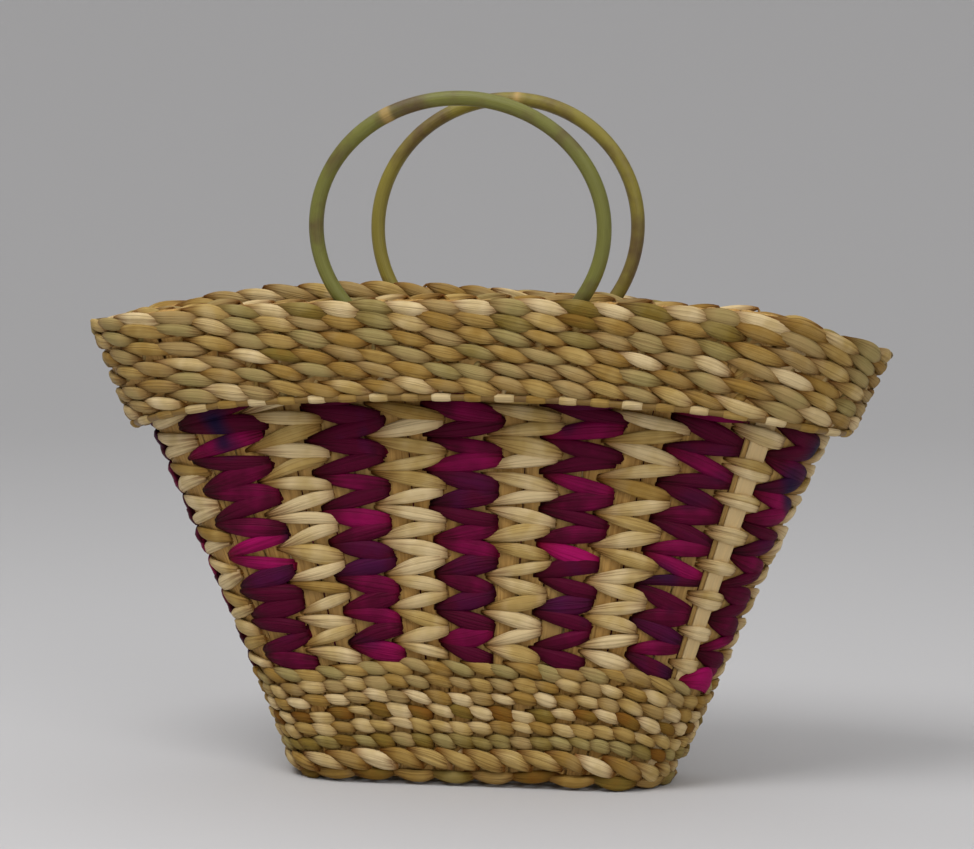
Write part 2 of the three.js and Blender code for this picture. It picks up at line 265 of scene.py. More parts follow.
# Stage: floor and backdrop, lights with their place, target, size and power, room light, and camera
FLOOR_FLAT = 2.2
FLOOR_RADIUS = 3.4
FLOOR_RISE = math.radians(66)
FLOOR_SIDES = 96
FLOOR_STEPS = 16
BODY_MIDDLE = (0, 0, 0.16)
LIGHTS = (
    ("key", (-0.5, -0.9, 1.7), BODY_MIDDLE, 0.9, 17.2),
    ("fill", (1.9, -2.8, 1.6), BODY_MIDDLE, 2.2, 31),
    ("ceiling", (0, 0, 4.2), (0, 0, 0), 9, 210),
)
ROOM_COLOUR = (1.0, 0.98, 0.96, 1)
ROOM_STRENGTH = 0.07
LENS = 113.86
SENSOR_WIDTH = 36
CAMERA_DISTANCE = 1.55
CAMERA_HEIGHT = 0.302
CAMERA_AZIMUTH = math.radians(11.4)
CAMERA_PITCH = math.radians(4.54)
CAMERA_TURN = 0.001


def linear(code):
    """Linear colour of a hex code, by the sRGB curve."""
    parts = np.array([(code >> shift) & 255 for shift in (16, 8, 0)]) / 255
    curve = np.where(parts <= 0.04045, parts / 12.92, ((parts + 0.055) / 1.055) ** 2.4)
    return tuple(float(part) for part in curve)


def length_setting(name, description, metres):
    """Property for a length in metres."""
    return FloatProperty(name=name, description=description, default=metres, min=0, unit="LENGTH")


def colour_setting(name, description, code):
    """Property for a colour given as a hex code."""
    return FloatVectorProperty(
        name=name, description=description, default=linear(code), size=3, min=0, max=1, subtype="COLOR"
    )


class BasketSizes(bpy.types.PropertyGroup):
    """Sizes of the strands, strips and canes"""

    chevron_width: length_setting("Chevron strand", "Widest part of a float in the zigzag band", 0.0078)
    lower_width: length_setting("Lower strand", "Widest part of a float above the foot", 0.0068)
    cuff_width: length_setting("Cuff strand", "Widest part of a float on the cuff", 0.0072)
    strand_thickness: length_setting("Strand thickness", "Thickness of a flattened strand", 0.0044)
    foot_width: length_setting("Foot strand", "Widest part of a float of the foot", 0.0082)
    cane: length_setting("Cane", "Thickness of the ring handles", 0.0075)
    hoop: length_setting("Hoop", "Thickness of the hoop below the cuff", 0.0036)


class BasketColours(bpy.types.PropertyGroup):
    """Colours of the reed, the dye, the strips and the canes"""

    pale: colour_setting("Pale straw", "Palest reed", 0xDEC798)
    straw: colour_setting("Straw", "Common reed", 0xBC9F60)
    tan: colour_setting("Tan", "Warm reed", 0x9C7A3A)
    rose: colour_setting("Rose", "Pinkish reed", 0xAC9260)
    olive: colour_setting("Grey olive", "Weathered reed", 0xA3925C)
    moss: colour_setting("Moss", "Greenish reed", 0x826C2E)
    brown: colour_setting("Brown", "Darkest reed", 0x80561C)
    purple: colour_setting("Purple", "Dyed reed in its full depth", 0x530528)
    magenta: colour_setting("Magenta", "Dyed reed where the dye is thin", 0xA40C5C)
    violet: colour_setting("Violet", "Dyed reed with a blue tinge", 0x4C0E3A)
    navy: colour_setting("Navy", "Blue spots of the dye", 0x1E1236)
    strip: colour_setting("Stake strip", "Upright strips", 0xCCA05A)
    strip_dark: colour_setting("Stake grooves", "Grooves of the upright strips", 0x8E6630)
    hoop: colour_setting("Hoop", "Hoop below the cuff", 0x8C6C32)
    cane_green: colour_setting("Green cane", "Front ring", 0x797939)
    cane_yellow: colour_setting("Yellow cane", "Back ring", 0x8E8236)
    cane_brown: colour_setting("Cane mottle", "Brown mottling on the rings", 0x5C4030)
    cane_joint: colour_setting("Cane joint", "Pale joints of the rings", 0xC0A060)
    cloth: colour_setting("Floor", "Pale floor and backdrop", 0xC6C5C6)


def settings(context):
    """Sizes and colours that the scene holds."""
    return context.scene.basket_sizes, context.scene.basket_colours


def fold_place(place):
    """Places from the nearer middle of the front or back, with the signs of the side that a place lies on."""
    turn = np.mod(place, AROUND)
    right = np.where(turn > AROUND / 2, -1.0, 1.0)
    half = np.where(turn > AROUND / 2, AROUND - turn, turn)
    back = np.where(half > QUARTER, 1.0, -1.0)
    count = np.where(half > QUARTER, 2 * QUARTER - half, half)
    return count, right, back


def plan(place, pitch, radius, turned):
    """Points and outward normals of a plan: straight front and back, and arcs of two rates round the ends."""
    count, right, back = fold_place(place)
    straight = CORNER_PLACE * pitch - radius * turned
    run = count * pitch
    corner = np.maximum(0, (run - straight) / radius)
    end = turned + (count - CORNER_PLACE) / END_PLACES * (math.pi / 2 - turned)
    angle = np.where(count <= CORNER_PLACE, corner, end)
    normal = np.stack([right * np.sin(angle), back * np.cos(angle)], -1)
    point = radius * normal
    point[..., 0] += right * np.minimum(run, straight)
    return point, normal


def smoothstep(value, low, high):
    """Cubic ease from 0 at low to 1 at high."""
    share = np.clip((value - low) / (high - low), 0, 1)
    return share * share * (3 - 2 * share)


def signed_power(value, power):
    """Power of a value's size, with the value's sign."""
    return np.sign(value) * np.abs(value) ** power


def unit(vectors):
    """Vectors of length 1 in the same directions."""
    return vectors / np.linalg.norm(vectors, axis=-1, keepdims=True)


def angles(count, start=0.0):
    """Equal steps round a full turn, moved on by a share of a step."""
    return 2 * math.pi * (np.arange(count) + start) / count


def end_share(place, side):
    """0 along the front and back, easing to 1 at the end on one side: 1 is the right and -1 the left."""
    count, right, _ = fold_place(place)
    return smoothstep(count, SOFT_START, QUARTER) * (right == side)


def wall(place, length, offset):
    """Points of the wall: each stake is a straight line from the base plan to the rim plan, all equally long.

    A point lies at a share of that line, moved outwards along the plan's normal by the offset. The right end
    sags with the cube of that share, and the uneven rim lifts with a higher power of it.
    """
    place, length, offset = np.broadcast_arrays(place, length, offset)
    low, low_normal = plan(place, BASE_PITCH, BASE_RADIUS, BASE_CORNER)
    high, high_normal = plan(place, RIM_PITCH, RIM_RADIUS, RIM_CORNER)
    height = np.sqrt(STAKE_LENGTH**2 - ((high - low) ** 2).sum(-1))
    share = (length / STAKE_LENGTH)[..., None]
    normal = unit(low_normal + (high_normal - low_normal) * share)
    point = low + (high - low) * share + normal * offset[..., None]
    sag = RIM_SAG * end_share(place, 1)[..., None] * share**3
    lift = np.interp(place, *zip(*RIM_LIFT), period=AROUND)[..., None] * share**RIM_STIFFNESS
    return np.concatenate([point, share * height[..., None] - sag + lift], -1)


def row_arch(place):
    """Length that a row gains at a place: up in the middle of the front and back, and down at the corners."""
    count, right, _ = fold_place(place)
    return ROW_ARCH - (ROW_ARCH + ROW_DIP) * smoothstep(count, ARCH_START + ARCH_LEAN * right, ARCH_END)


def on_wall(place):
    """Offset of the stakes in the wall, which the offsets are measured from."""
    return np.zeros_like(place)


def on_cuff(place):
    """Offset of the stakes in the cuff: past the pocket, which is drawn in towards the ends."""
    run = fold_place(place)[0] * RIM_PITCH
    taper = smoothstep(run, POCKET_HALF_LENGTH, POCKET_HALF_LENGTH + POCKET_TAPER)
    return WALL_OUTER + POCKET + (POCKET_END - POCKET) * taper + CUFF_STAKE


def on_lip(place):
    """Offset of the twined row inside the top of the wall."""
    return np.full_like(place, LIP_OFFSET)


def on_foot(place):
    """Offset of the thick strands round the edge of the base, drawn in at the right end."""
    return FOOT_OFFSET - FOOT_DRAW * end_share(place, 1)


@dataclass
class Tube:
    """Grid of points round a strand or strip, with the values that its material reads."""

    points: np.ndarray
    closed: bool
    tone: np.ndarray
    dye: np.ndarray
    # painted shade mask towards the tips of a reed float, or the pale joint of a cane
    tip_shade_and_joint: np.ndarray
    along: np.ndarray


@dataclass
class Course:
    """One twined course: two strands that swap sides at its edges, outside one column and inside the next.

    Lengths and offsets are in metres, reach and overlap in places. Tones, dyes, strands and tips have a value
    for each strand.
    """

    edges: np.ndarray
    length: float
    width: float
    thickness: float
    rise: float  # of the tips above and below the row
    reach: float  # of the tips past the edges
    tips: tuple  # widths at the tips, outside and inside
    outer: float  # offset of the floats outside
    inner: float  # depth of the floats inside
    tones: tuple
    seed: int
    slant: object = -1.0  # direction of the rise, for all columns or for each
    base: object = on_wall  # offset that the strands are measured from
    dyes: tuple = (0.0, 0.0)
    ladders: tuple = ()  # columns of the ladder lines
    accent: tuple = (-1, -1)  # strand and column of the float that is set apart
    belly: float = 0.8  # fuller floats have less
    skew: float = 1.25  # of the widest part, towards the right end
    uneven: float = 1.0
    shades: float = 0.07  # spread of the tones
    fall: float = 0.0  # at the left end
    arch: float = 0.0  # share of the rows' arch
    droop: float = 0.0
    strands: tuple = (1.0, 1.0)  # shares of the width
    outside: float = 1.0  # share of the width, for the floats outside
    inside: float = 1.2  # the same for the floats inside
    thin: float = 0.6  # share of the swelling in thickness, for the floats inside
    overlap: float = 0.0  # of the floats inside, back under the ones outside
    steps: int = 10
    sides: int = 12


def twined_strand(course, phase):
    """Closed tube of one strand of a course, in the wall's coordinates of place, length and offset.

    Along a column the strand is a float whose height goes in a line from tip to tip and whose width swells as
    a sine, skewed towards its right end. Its offset rises to a plateau outside, or inside in the next column,
    and its section is an oval with a few ridges. The tips reach past the edges, so the two strands overlap
    there, and the floats inside start back under the ones outside.
    """
    rng = np.random.default_rng(course.seed * 2 + phase)
    columns = len(course.edges) - 1
    column = np.arange(columns)
    outside = column % 2 == phase
    ladder = np.isin(column, course.ladders)
    accent = outside & (column == course.accent[1]) & (phase == course.accent[0])
    beside = ladder | np.roll(ladder, 1)
    reach = np.where(beside & (course.dyes[phase] > 0), LADDER_REACH, 1.0) * course.reach
    reach = reach + np.where(beside, 0, rng.normal(0, REACH_SPREAD, columns) * course.uneven)
    reach = reach + np.where(accent | np.roll(accent, 1), ACCENT_REACH, 0)
    reach = np.append(reach, reach[0])
    towards = np.where(outside, -1.0, 1.0)
    overlap = np.where(outside, 0, course.overlap)
    first = course.edges[:-1] + towards * reach[:-1] - overlap
    last = course.edges[1:] - towards * reach[1:] + overlap
    slant = np.broadcast_to(course.slant, columns)
    joint = towards * slant * course.rise + rng.normal(0, TIP_SPREAD, columns) * course.uneven

    share = np.arange(course.steps) / course.steps
    skewed = np.where(outside[:, None], share**course.skew, share)
    bump = np.sin(math.pi * skewed)
    swell = 1 + rng.normal(0, SWELL_SPREAD, columns)[:, None] * course.uneven
    lift = rng.normal(-course.droop, LIFT_SPREAD * course.uneven, columns) + np.where(accent, ACCENT_LIFT, 0)
    plump = rng.normal(1, SWELL_SPREAD, columns)[:, None]
    place = first[:, None] + (last - first)[:, None] * share
    height = joint[:, None] + (np.roll(joint, -1) - joint)[:, None] * share + lift[:, None] * bump
    height = np.where(ladder[:, None], height * (1 - LADDER_BOW * bump), height)
    scale = np.where(outside, np.where(accent, ACCENT_WIDTH, course.outside), course.inside)
    widest = np.where(ladder & outside, LADDER_WIDTH, scale * course.strands[phase])[:, None]
    widest = widest * course.width / 2 * swell
    tip = np.where(outside, *course.tips[phase])[:, None] / 2
    tip = tip + (np.roll(tip, -1, 0) - tip) * share
    half_width = tip + (widest - tip) * bump**course.belly
    flat = np.where(outside, 1.0, course.thin)[:, None]
    half_thickness = course.thickness / 2 * (TIP_THICKNESS + BELLY_THICKNESS * bump * flat) * plump
    plateau = np.where(outside, course.outer + np.where(accent, ACCENT_OUT, 0), -course.inner)[:, None]
    depth = (1 - np.abs(2 * skewed - 1) ** FLOAT_PLATEAU) * plateau

    turn = angles(course.sides, 0.5)
    ridges = rng.integers(*FLOAT_RIDGES, columns)[:, None] * turn + rng.uniform(0, PHASES, columns)[:, None]
    ridge = 1 + FLOAT_RIDGE * np.cos(ridges)[:, None, :]
    bulge = half_thickness[..., None] * signed_power(np.sin(turn), FLOAT_ROUND) * ridge
    across = half_width[..., None] * np.cos(turn)
    waves = zip(DRIFT_WAVES, rng.uniform(0, PHASES, 2))
    drift = sum(np.sin(place * 2 * math.pi * count / AROUND + wave) for count, wave in waves)
    level = course.length + DRIFT * drift - course.fall * end_share(place, -1) + course.arch * row_arch(place)
    offset = (course.base(place) + depth)[..., None] + bulge
    around = wall(place[..., None], (level + height)[..., None] + across, offset)
    around[..., 2] = np.maximum(around[..., 2], 0)
    tone = np.clip(course.tones[phase] + rng.normal(0, course.shades, columns), 0, 1)
    tone = np.where(accent, ACCENT_TONE, tone)
    rows = columns * course.steps
    return Tube(
        points=around.reshape(rows, course.sides, 3),
        closed=True,
        tone=np.repeat(tone, course.steps),
        dye=np.repeat(np.where(accent, 1.0, course.dyes[phase]), course.steps),
        # Painted shade mask: 1 at the tips, where the floats tuck under, 0 in the middle
        tip_shade_and_joint=(1 - bump).ravel(),
        along=(place * (BASE_PITCH + RIM_PITCH) / 2).ravel(),
    )


def both_strands(*courses):
    """Tubes of the two strands of each course."""
    return [twined_strand(course, phase) for course in courses for phase in (0, 1)]


def tube_faces(rows, sides, closed):
    """Quads between neighbouring rows of a tube; the ends of an open one are closed by strips of quads."""
    row = np.arange(rows if closed else rows - 1)[:, None]
    side = np.arange(sides)[None, :]
    after = (row + 1) % rows
    beside = (side + 1) % sides
    corners = [row * sides + side, row * sides + beside, after * sides + beside, after * sides + side]
    faces = np.stack(corners, -1).reshape(-1, 4)
    if closed:
        return faces
    step = np.arange(sides // 2 - 1)
    cap = np.stack([step, sides - 1 - step, sides - 2 - step, step + 1], -1)
    return np.concatenate([faces, cap, (rows - 1) * sides + cap[:, ::-1]])


def outward(points, faces):
    """The faces, turned over if the volume that they enclose is negative."""
    a, b, c, d = (points[faces[:, corner]] for corner in range(4))
    volume = (a * (np.cross(b, c) + np.cross(c, d))).sum()
    return faces if volume > 0 else faces[:, ::-1]


def add_piece(name, tubes, material, nodes, body="basket"):
    """Mesh of one or more tubes, with a UV map in metres along them and in turns round them."""
    points, faces, tone, dye, tip_shade_and_joint, uv = [], [], [], [], [], []
    count = 0
    for tube in tubes:
        rows, sides = tube.points.shape[:2]
        flat = tube.points.reshape(-1, 3)
        quads = outward(flat, tube_faces(rows, sides, tube.closed))
        row, side = np.divmod(quads, sides)
        wraps = (row.max(1) - row.min(1) > 1) & tube.closed
        circuit = tube.along[-1] - tube.along[0]
        along = tube.along[row] + np.where(wraps[:, None] & (row == 0), circuit, 0)
        seam = (side.max(1) - side.min(1) > 1)[:, None]
        around = (side + np.where(seam & (side == 0), sides, 0)) / sides
        points.append(flat)
        faces.append(quads + count)
        tone.append(np.repeat(tube.tone, sides))
        dye.append(np.repeat(tube.dye, sides))
        tip_shade_and_joint.append(np.repeat(tube.tip_shade_and_joint, sides))
        uv.append(np.stack([along, around], -1).reshape(-1, 2))
        count += len(flat)
    mesh = bpy.data.meshes.new(name)
    faces = np.concatenate(faces)
    mesh.vertices.add(count)
    mesh.vertices.foreach_set("co", np.concatenate(points).ravel())
    mesh.loops.add(faces.size)
    mesh.loops.foreach_set("vertex_index", faces.ravel())
    mesh.polygons.add(len(faces))
    mesh.polygons.foreach_set("loop_start", np.arange(0, faces.size, 4))
    # The third attribute masks painted shade at the reed's tips, or a cane's pale joint
    for key, values in (("tone", tone), ("dye", dye), ("tip_shade_and_joint", tip_shade_and_joint)):
        layer = mesh.attributes.new(key, "FLOAT", "POINT")
        layer.data.foreach_set("value", np.concatenate(values))
    mesh.uv_layers.new(name="strand").data.foreach_set("uv", np.concatenate(uv).ravel())
    mesh.update(calc_edges=True)
    mesh.validate()
    mesh.shade_smooth()
    mesh.materials.append(material)
    piece = bpy.data.objects.new(name, mesh)
    bpy.context.scene.collection.objects.link(piece)
    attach(piece, body)
    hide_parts(*nodes)


def numbered(name, index):
    """Name with a number of two digits, counted from 1."""
    return f"{name}_{index + 1:02d}"


def add_course(band, index, course, material):
    """Piece with both strands of one course of a band, for the node of that course."""
    nodes = [numbered(band + "_course", index)]
    add_piece(numbered(band + "_strands", index), both_strands(course), material, nodes)


def add_node(tree, kind, inputs=None, **options):
    """Shader node with its options; an input that is a socket is linked, and any other value is set."""
    made = tree.nodes.new("ShaderNode" + kind)
    for key, value in options.items():
        setattr(made, key, value)
    for key, value in (inputs or {}).items():
        if isinstance(value, bpy.types.NodeSocket):
            tree.links.new(value, made.inputs[key])
        else:
            made.inputs[key].default_value = value
    return made


def arithmetic(tree, operation, first, second=0.0):
    """Value worked out from one or two others."""
    return add_node(tree, "Math", {0: first, 1: second}, operation=operation).outputs[0]


def blend(tree, factor, first, second, mode="MIX"):
    """Colour mixed from two others, each a socket or a colour of three parts."""
    linked = bpy.types.NodeSocket
    opaque = [value if isinstance(value, linked) else (*value, 1) for value in (first, second)]
    inputs = {0: factor, 6: opaque[0], 7: opaque[1]}
    return add_node(tree, "Mix", inputs, data_type="RGBA", blend_type=mode).outputs[2]


def spread(tree, value, low, high, start=0.0, end=1.0):
    """Value stretched from one range to another, kept within it."""
    inputs = {"Value": value, "From Min": low, "From Max": high, "To Min": start, "To Max": end}
    return add_node(tree, "MapRange", inputs).outputs[0]


def noise(tree, place, scale, detail, roughness=0.5):
    """Noise at a place, from 0 to 1."""
    inputs = {"Vector": place, "Scale": scale, "Detail": detail, "Roughness": roughness}
    return add_node(tree, "TexNoise", inputs).outputs[0]


def new_group(name, inputs, outputs):
    """Shader node group with float inputs and outputs, and its input and output nodes."""
    tree = bpy.data.node_groups.new(name, "ShaderNodeTree")
    for socket in inputs:
        tree.interface.new_socket(socket, in_out="INPUT", socket_type="NodeSocketFloat")
    for socket in outputs:
        tree.interface.new_socket(socket, in_out="OUTPUT", socket_type="NodeSocketFloat")
    return tree, tree.nodes.new("NodeGroupInput"), tree.nodes.new("NodeGroupOutput")


def fibre_group():
    """Streaks that run along a strand: noise drawn out along its UV map, with a seed for each float."""
    tree, given, made = new_group("Fibre streaks", ("Along", "Around", "Seed"), ("Streak", "Groove"))
    surface = add_node(tree, "UVMap", uv_map="strand").outputs[0]
    parts = {"X": given.outputs["Along"], "Y": given.outputs["Around"], "Z": 1.0}
    scale = add_node(tree, "CombineXYZ", parts).outputs[0]
    stretched = add_node(tree, "VectorMath", {0: surface, 1: scale}, operation="MULTIPLY").outputs[0]
    seed = add_node(tree, "CombineXYZ", {"X": 0.0, "Y": 0.0, "Z": given.outputs["Seed"]}).outputs[0]
    place = add_node(tree, "VectorMath", {0: stretched, 1: seed}, operation="ADD").outputs[0]
    fine = noise(tree, place, scale=1.0, detail=3.0, roughness=0.6)
    coarse = noise(tree, place, scale=0.4, detail=1.0)
    away = arithmetic(tree, "ABSOLUTE", arithmetic(tree, "SUBTRACT", coarse, 0.5))
    tree.links.new(spread(tree, fine, 0.3, 0.7), made.inputs["Streak"])
    tree.links.new(spread(tree, away, 0.0, 0.045), made.inputs["Groove"])
    return tree


def new_material(name):
    """Material with an empty tree but for its output and its shader."""
    material = bpy.data.materials.new(name)
    material.use_nodes = True
    tree = material.node_tree
    tree.nodes.clear()
    shader = add_node(tree, "BsdfPrincipled")
    add_node(tree, "OutputMaterial", {"Surface": shader.outputs[0]})
    return material, tree, shader


def use_fibres(tree, scales, seed):
    """Fibre streaks with their own scales along and around, as the outputs of the shared group."""
    group = bpy.data.node_groups.get("Fibre streaks") or fibre_group()
    made = add_node(tree, "Group", node_tree=group)
    made.inputs["Along"].default_value, made.inputs["Around"].default_value = scales
    tree.links.new(arithmetic(tree, "MULTIPLY", seed, FIBRE_SEEDS), made.inputs["Seed"])
    return made.outputs


def attribute(tree, name):
    """Value of a mesh attribute."""
    return add_node(tree, "Attribute", attribute_name=name).outputs["Fac"]


def set_surface(tree, shader, colour, roughness, specular):
    """Colour, roughness and specular level of the shader."""
    tree.links.new(colour, shader.inputs["Base Color"])
    shader.inputs["Roughness"].default_value = roughness
    shader.inputs["Specular IOR Level"].default_value = specular


def set_bump(tree, shader, height, strength, distance):
    """Bump from a height, on the shader's normal."""
    inputs = {"Height": height, "Strength": strength, "Distance": distance}
    tree.links.new(add_node(tree, "Bump", inputs).outputs[0], shader.inputs["Normal"])


def reed_tones(tree, colours, tone):
    """Colour of a natural strand at its tone, from pale straw to brown."""
    ramp = add_node(tree, "ValToRGB", {0: tone})
    stops = ("pale", "straw", "tan", "rose", "olive", "moss", "brown")
    while len(ramp.color_ramp.elements) < len(stops):
        ramp.color_ramp.elements.new(0.5)
    for index, stop in enumerate(stops):
        ramp.color_ramp.elements[index].position = index / (len(stops) - 1)
        ramp.color_ramp.elements[index].color = (*getattr(colours, stop), 1)
    return ramp.outputs[0]


def reed_material(name, colours):
    """Flattened dry reed, with dye where its attribute says: blotches, fine streaks, and painted shade at the
    tips.

    Painted shade in the creases gathers towards the tips, where they tuck under, and the dye has blue spots.
    """
    material, tree, shader = new_material(name)
    tone = attribute(tree, "tone")
    # Share towards the tips, where shade is painted
    tip_shade_and_joint = attribute(tree, "tip_shade_and_joint")
    fibres = use_fibres(tree, REED_FIBRES, tone)
    spot = add_node(tree, "TexCoord").outputs["Object"]
    blotch = noise(tree, spot, BLOTCH_SCALE, detail=2.0)
    shifted = arithmetic(tree, "ADD", tone, spread(tree, blotch, 0.3, 0.7, -BLOTCH_SHIFT, BLOTCH_SHIFT))
    natural = reed_tones(tree, colours, shifted)
    dyed = blend(tree, spread(tree, shifted, *PURPLE_TONES), colours.violet, colours.purple)
    dyed = blend(tree, spread(tree, shifted, *MAGENTA_TONES), dyed, colours.magenta)
    blue = noise(tree, spot, BLUE_SCALE, detail=1.0)
    dyed = blend(tree, spread(tree, blue, 0.62, 0.78), dyed, colours.navy)
    colour = blend(tree, attribute(tree, "dye"), natural, dyed)
    streak = spread(tree, fibres["Streak"], 0, 1, start=0.22, end=0.0)
    colour = blend(tree, streak, colour, STREAK_SHADE, "MULTIPLY")
    # Painted shade in the creases, gathered towards the tips
    crease = spread(tree, fibres["Groove"], 0, 1, start=1, end=0)
    painted_crease_shade = arithmetic(tree, "MULTIPLY", crease, spread(tree, tip_shade_and_joint, 0, 1, start=0.22, end=0.95))
    colour = blend(tree, painted_crease_shade, colour, CREASE_PAINTED_SHADE, "MULTIPLY")
    # Painted shade at the tips, where the floats tuck under
    colour = blend(tree, spread(tree, tip_shade_and_joint, 0.12, 1, start=0, end=0.92), colour, TIP_PAINTED_SHADE, "MULTIPLY")
    set_surface(tree, shader, colour, roughness=0.6, specular=0.08)
    height = arithmetic(tree, "ADD", fibres["Streak"], fibres["Groove"])
    set_bump(tree, shader, height, strength=0.48, distance=0.0005)
    return material


def strip_material(name, colours):
    """Ribbed upright strips: streaks along them between a light and a dark colour."""
    material, tree, shader = new_material(name)
    tone = attribute(tree, "tone")
    fibres = use_fibres(tree, STRIP_FIBRES, tone)
    colour = blend(tree, fibres["Streak"], colours.strip_dark, colours.strip)
    colour = blend(tree, spread(tree, tone, 0, 1, start=0, end=0.4), colour, colours.rose)
    colour = blend(tree, attribute(tree, "dye"), colour, colours.pale)
    set_surface(tree, shader, colour, roughness=0.6, specular=0.1)
    set_bump(tree, shader, fibres["Streak"], strength=0.5, distance=0.0004)
    return material


def cane_material(name, colours, plain, mottle):
    """Smooth cane: fine streaks along it, brown mottling in patches, and joints where its attribute says."""
    material, tree, shader = new_material(name)
    fibres = use_fibres(tree, CANE_FIBRES, attribute(tree, "tone"))
    spot = add_node(tree, "TexCoord").outputs["Object"]
    patch = noise(tree, spot, PATCH_SCALE, detail=4.0, roughness=0.65)
    brown = spread(tree, attribute(tree, "dye"), 0, 1, start=0, end=0.2)
    shaded = arithmetic(tree, "ADD", patch, brown)
    colour = blend(tree, spread(tree, shaded, 0.5, 0.68, start=0, end=mottle), plain, colours.cane_brown)
    colour = blend(tree, attribute(tree, "tip_shade_and_joint"), colour, colours.cane_joint)
    streak = spread(tree, fibres["Streak"], 0, 1, start=0.4, end=0)
    colour = blend(tree, streak, colour, CANE_SHADE, "MULTIPLY")
    set_surface(tree, shader, colour, roughness=0.42, specular=0.3)
    set_bump(tree, shader, fibres["Streak"], strength=0.3, distance=0.0003)
    return material


def shared_material(make, name, *values):
    """Material of that name, made the first time that a piece asks for it."""
    return bpy.data.materials.get(name) or make(name, *values)


def natural_reed(colours):
    """Material of the undyed strands."""
    return shared_material(reed_material, "natural reed", colours)


def even_edges(columns):
    """Edges of equal columns all round, the first one in the middle of the front."""
    return np.linspace(0, AROUND, columns + 1)


def plain_course(sizes, **values):
    """Course of the usual strands with one column for each stake."""
    return Course(edges=even_edges(int(AROUND)), thickness=sizes.strand_thickness, **values)


class BASKET_OT_lower_band(bpy.types.Operator):
    """Weaves the plain courses above the foot"""

    bl_idname = "basket.lower_band"
    bl_label = "Lower band"

    def execute(self, context):
        sizes, colours = settings(context)
        for index in range(LOWER_COURSES):
            top = index == LOWER_COURSES - 1
            course = plain_course(
                sizes,
                length=LOWER_START + (index + 0.5) * LOWER_ROW,
                width=sizes.lower_width,
                rise=0.0028 if top else 0.0019,
                reach=0.5 if top else 0.36,
                tips=((0.0014, 0.0024), (0.0014, 0.0024)),
                outer=0.0026,
                inner=0.0018,
                tones=LOWER_TONES[index],
                seed=SEEDS["lower"] + index,
                accent=(0, RIGHT_LADDER[1]) if top else (-1, -1),
                overlap=0.2,
                arch=1.0,
                steps=9,
                sides=10,
            )
            add_course("lower", index, course, natural_reed(colours))
        return {"FINISHED"}


def chevron_course(sizes, index):
    """Course of the zigzag band: its slant changes from row to row and past the ladder lines."""
    starts = CHEVRON_EDGES[:-1]
    turned = (starts >= RIGHT_LADDER[1]) & (starts <= LEFT_LADDER[0])
    row_slant = -1.0 if index % 2 == 0 else 1.0
    low_reach, high_reach = CHEVRON_REACH
    return Course(
        edges=CHEVRON_EDGES,
        length=CHEVRON_START + (index + 0.5) * CHEVRON_ROW,
        width=sizes.chevron_width,
        thickness=sizes.strand_thickness,
        rise=0.0034,
        reach=low_reach + (high_reach - low_reach) * index / CHEVRON_COURSES,
        tips=((0.003, 0.0048), (0.002, 0.003)),
        outer=0.0025,
        inner=0.0022,
        tones=(ROW_DYE_TONES.get(index, DYE_TONE), CHEVRON_TONE),
        strands=(1.24, 1.0),
        seed=SEEDS["chevron"] + index,
        slant=np.where(turned, -row_slant, row_slant),
        dyes=(1.0, 0.0),
        ladders=tuple(np.flatnonzero(np.isin(starts, (RIGHT_LADDER[0], LEFT_LADDER[0])))),
        overlap=0.3,
        arch=1.0,
        belly=0.85,
        uneven=1.3,
        shades=0.1,
        steps=12,
    )


class BASKET_OT_chevron_band(bpy.types.Operator):
    """Weaves the purple and natural zigzag band with its two ladder lines"""

    bl_idname = "basket.chevron_band"
    bl_label = "Chevron band"

    def execute(self, context):
        sizes, colours = settings(context)
        dyed = shared_material(reed_material, "dyed reed", colours)
        for index in range(CHEVRON_COURSES):
            add_course("chevron", index, chevron_course(sizes, index), dyed)
        return {"FINISHED"}


class BASKET_OT_upper_wall(bpy.types.Operator):
    """Weaves the wall behind the cuff: one more zigzag course, then plain ones"""

    bl_idname = "basket.upper_wall"
    bl_label = "Upper wall"

    def execute(self, context):
        sizes, colours = settings(context)
        row = (UPPER_WALL - CHEVRON_ROW) / UPPER_COURSES
        courses = [chevron_course(sizes, CHEVRON_COURSES)]
        for index in range(UPPER_COURSES):
            course = plain_course(
                sizes,
                length=UPPER_START + CHEVRON_ROW + (index + 0.5) * row,
                width=sizes.cuff_width,
                rise=0.0026,
                reach=-0.32,
                tips=((0.002, 0.0012), (0.002, 0.0012)),
                outer=0.0012,
                inner=0.002,
                outside=0.6,
                inside=1.0,
                tones=UPPER_TONES,
                seed=SEEDS["upper"] + index,
                arch=1 - (index + 0.5) / UPPER_COURSES,
                shades=0.1,
            )
            courses.append(course)
        tubes = both_strands(*courses)
        add_piece("upper_strands", tubes, natural_reed(colours), ["upper_wall"])
        return {"FINISHED"}


